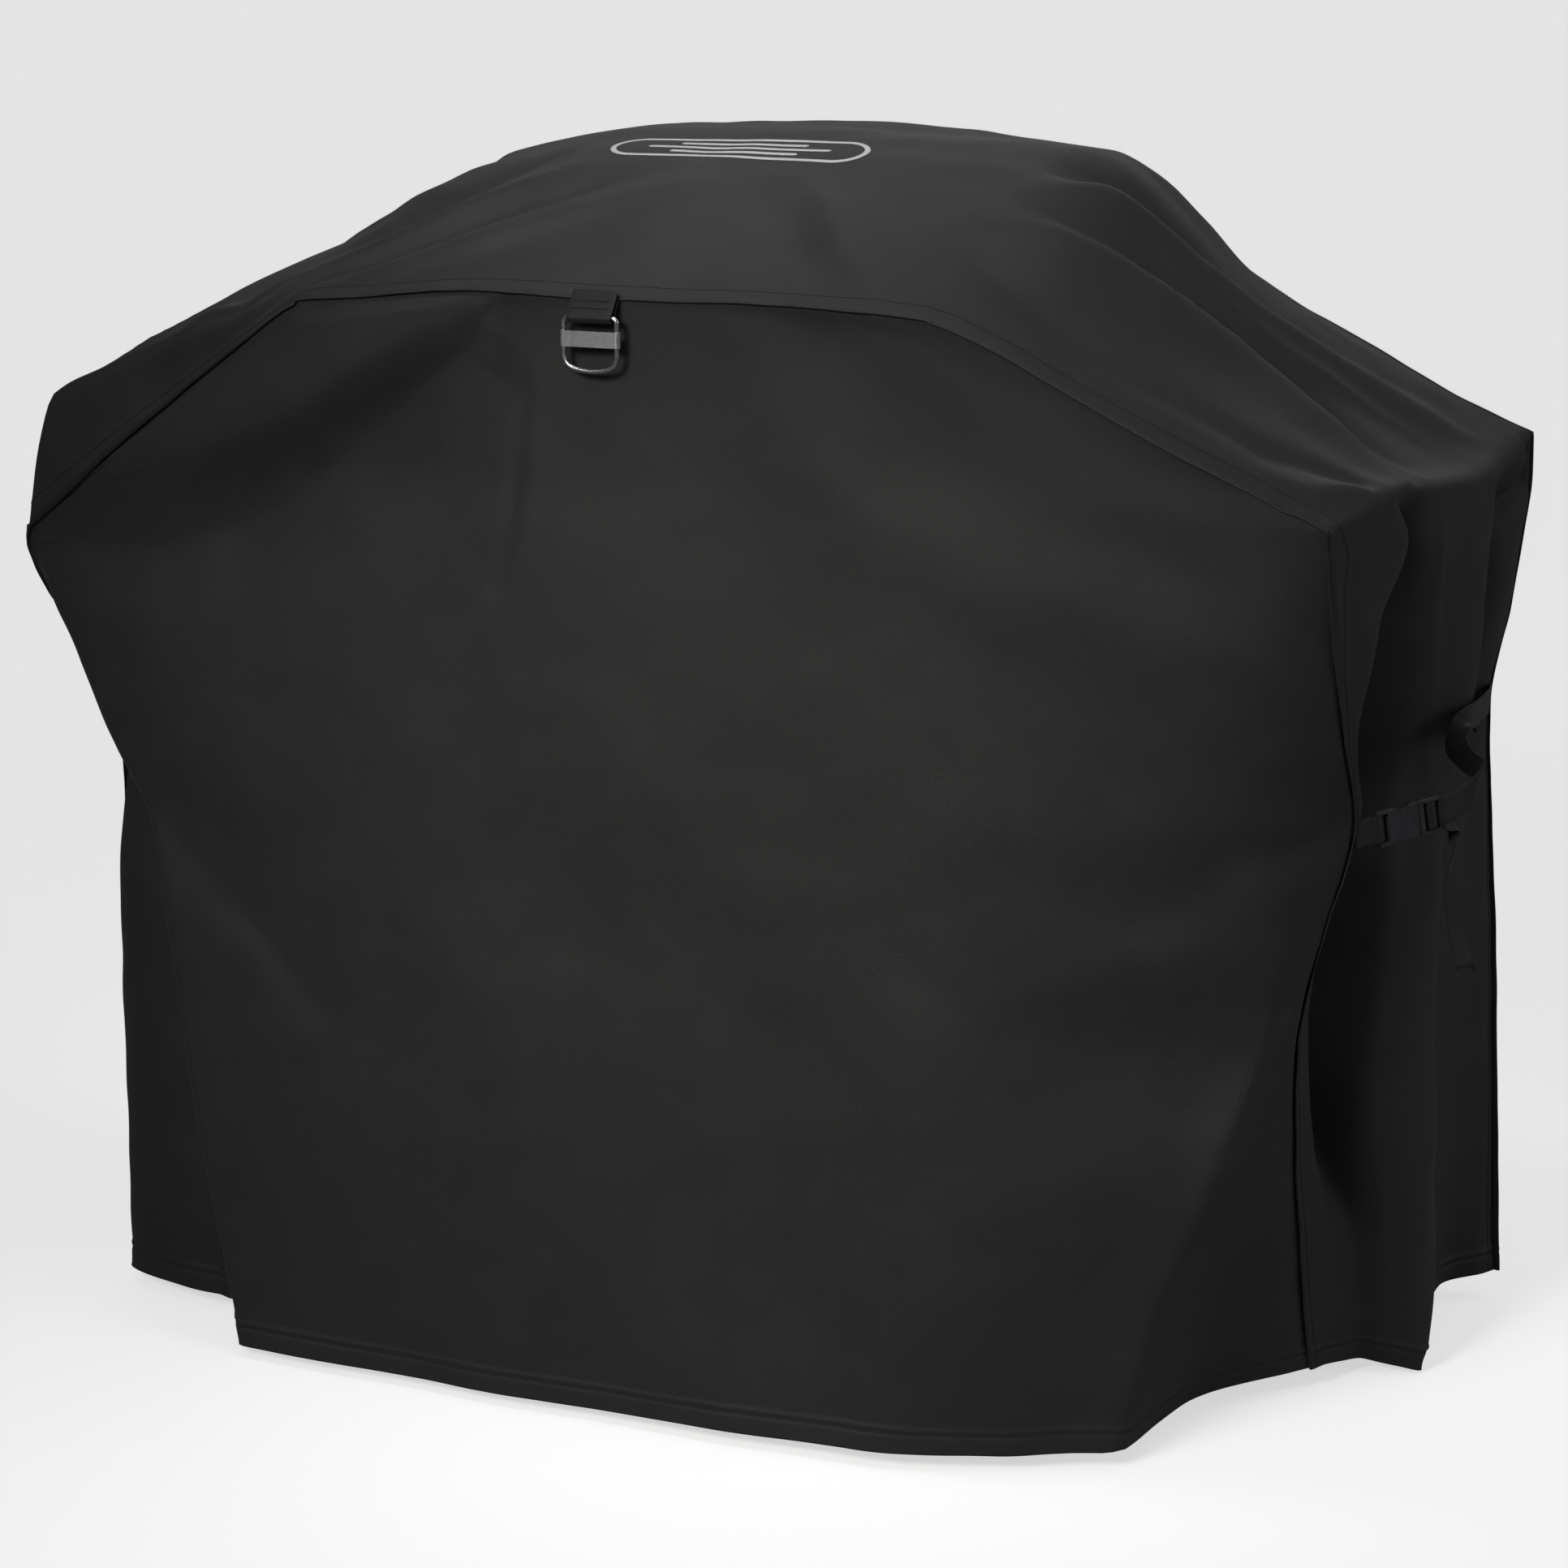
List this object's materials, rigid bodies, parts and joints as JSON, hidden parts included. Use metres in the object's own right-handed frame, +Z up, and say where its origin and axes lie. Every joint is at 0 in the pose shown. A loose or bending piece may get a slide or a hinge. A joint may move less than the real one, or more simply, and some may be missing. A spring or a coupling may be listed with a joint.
{
  "type": "grill cover",
  "caption": "Fitted woven polyester cover for a hooded cart grill with side shelves, with cinch straps on side-release buckles and a steel ring at the front for lifting it off and hanging it.",
  "frame": {"origin": "floor point under the middle of the cover's box, with the hem standing on z = 0", "axes": "+Z up, -Y out of the front panel, +X to the right-hand side seen from the front"},
  "size_m": [1.4354, 0.6873, 1.185],
  "materials": {
    "cover_fabric": "satin coated weave",
    "webbing": "woven tape",
    "buckle_plastic": "moulded satin",
    "ring_steel": "nickel plated",
    "plate_steel": "plated strip",
    "badge_print": "screen print"
  },
  "bodies": {
    "cover": {"front_panel": "cover_fabric", "rear_panel": "cover_fabric", "top_and_side_panel": "cover_fabric", "front_hem": "cover_fabric", "rear_hem": "cover_fabric", "right_hem": "cover_fabric", "left_hem": "cover_fabric", "badge": "badge_print", "hanger_tab": "webbing", "right_strap_stub": "webbing", "right_buckle_socket": "buckle_plastic", "right_rear_webbing": "webbing", "left_strap_stub": "webbing", "left_buckle_socket": "buckle_plastic", "left_rear_webbing": "webbing"},
    "hanging_ring": {"hanging_ring": "ring_steel", "ring_cross_plate": "plate_steel"},
    "right_plug": {"right_buckle_plug": "buckle_plastic", "right_webbing_tail": "webbing"},
    "right_prong_upper": {"right_prong_upper": "buckle_plastic"},
    "right_prong_lower": {"right_prong_lower": "buckle_plastic"},
    "left_plug": {"left_buckle_plug": "buckle_plastic", "left_webbing_tail": "webbing"},
    "left_prong_upper": {"left_prong_upper": "buckle_plastic"},
    "left_prong_lower": {"left_prong_lower": "buckle_plastic"}
  },
  "joints": [
    {"name": "ring_swing", "type": "hinge", "parent": "cover", "child": "hanging_ring", "pos_m": [-0.029, -0.349, 1.0395], "axis": [-1, 0, 0], "range_deg": [-6, 110]},
    {"name": "right_buckle_slide", "type": "slide", "parent": "cover", "child": "right_plug", "axis": [0.7098, 0.6848, 0.165], "range_m": [0, 0.045], "deforming": ["right_rear_webbing", "right_prong_upper", "right_prong_lower"]},
    {"name": "right_prong_upper_squeeze", "type": "hinge", "parent": "right_plug", "child": "right_prong_upper", "pos_m": [0.67136, -0.1501, 0.62211], "axis": [0.6943, -0.7197, 0], "range_deg": [0, 8], "stiffness_Nm_per_rad": 0.4},
    {"name": "right_prong_lower_squeeze", "type": "hinge", "parent": "right_plug", "child": "right_prong_lower", "pos_m": [0.67311, -0.14841, 0.60752], "axis": [0.6943, -0.7197, 0], "range_deg": [-8, 0], "stiffness_Nm_per_rad": 0.4},
    {"name": "left_buckle_slide", "type": "slide", "parent": "cover", "child": "left_plug", "axis": [-0.7098, 0.6848, 0.165], "range_m": [0, 0.045], "deforming": ["left_rear_webbing", "left_prong_upper", "left_prong_lower"]},
    {"name": "left_prong_upper_squeeze", "type": "hinge", "parent": "left_plug", "child": "left_prong_upper", "pos_m": [-0.67136, -0.1501, 0.62211], "axis": [0.6943, 0.7197, 0], "range_deg": [0, 8], "stiffness_Nm_per_rad": 0.4},
    {"name": "left_prong_lower_squeeze", "type": "hinge", "parent": "left_plug", "child": "left_prong_lower", "pos_m": [-0.67311, -0.14841, 0.60752], "axis": [0.6943, 0.7197, 0], "range_deg": [-8, 0], "stiffness_Nm_per_rad": 0.4}
  ],
  "couplings": [
    {"joint": "right_prong_lower_squeeze", "follows": "right_prong_upper_squeeze", "ratio": -1},
    {"joint": "left_prong_lower_squeeze", "follows": "left_prong_upper_squeeze", "ratio": -1}
  ]
}
